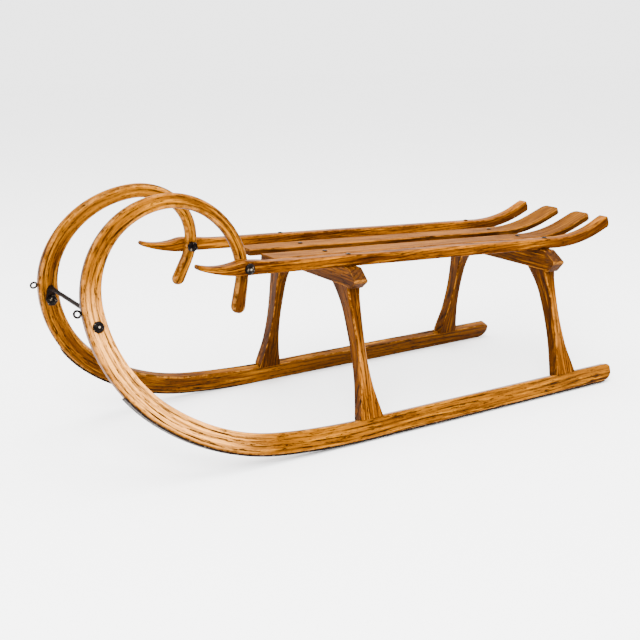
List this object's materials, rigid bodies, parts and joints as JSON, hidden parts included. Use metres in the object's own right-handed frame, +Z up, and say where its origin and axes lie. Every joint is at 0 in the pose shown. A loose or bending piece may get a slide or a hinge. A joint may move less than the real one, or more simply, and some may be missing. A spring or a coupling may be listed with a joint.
{
  "type": "wooden toboggan",
  "caption": "Wooden ram's-horn sledge with bent runners curling back over side rails, slatted seat, splayed legs and black iron fittings.",
  "frame": {"origin": "on the floor under the middle of the bounding box", "axes": "+X towards the horns (front), +Y to the sledge's left, +Z up"},
  "size_m": [1.1696, 0.4272, 0.4629],
  "materials": {
    "runner_wood": "varnished ash, amber",
    "leg_wood": "varnished ash, dark amber",
    "deck_wood": "worn varnished ash, light tan",
    "iron": "blackened, slightly glossy",
    "shoe_steel": "worn by snow and ground"
  },
  "bodies": {
    "root": {"runner_left": "runner_wood", "runner_right": "runner_wood", "runner_shoe_left": "shoe_steel", "runner_shoe_right": "shoe_steel", "leg_front_left": "leg_wood", "leg_front_right": "leg_wood", "leg_rear_left": "leg_wood", "leg_rear_right": "leg_wood", "seat_slat_left": "deck_wood", "seat_slat_right": "deck_wood", "side_rail_left": "deck_wood", "side_rail_right": "deck_wood", "horn_bolt_left": "iron", "horn_bolt_right": "iron", "horn_bolt_nut_left": "iron", "horn_bolt_nut_right": "iron", "spreader_bolt_left": "iron", "spreader_bolt_right": "iron", "spreader_nut_left": "iron", "spreader_nut_right": "iron", "tow_eye_left": "iron", "tow_eye_right": "iron", "slat_screws_left": "iron", "slat_screws_right": "iron", "rail_screws_left": "iron", "rail_screws_right": "iron", "cross_beam_front": "leg_wood", "cross_beam_rear": "leg_wood", "spreader_rod": "iron"}
  },
  "joints": []
}
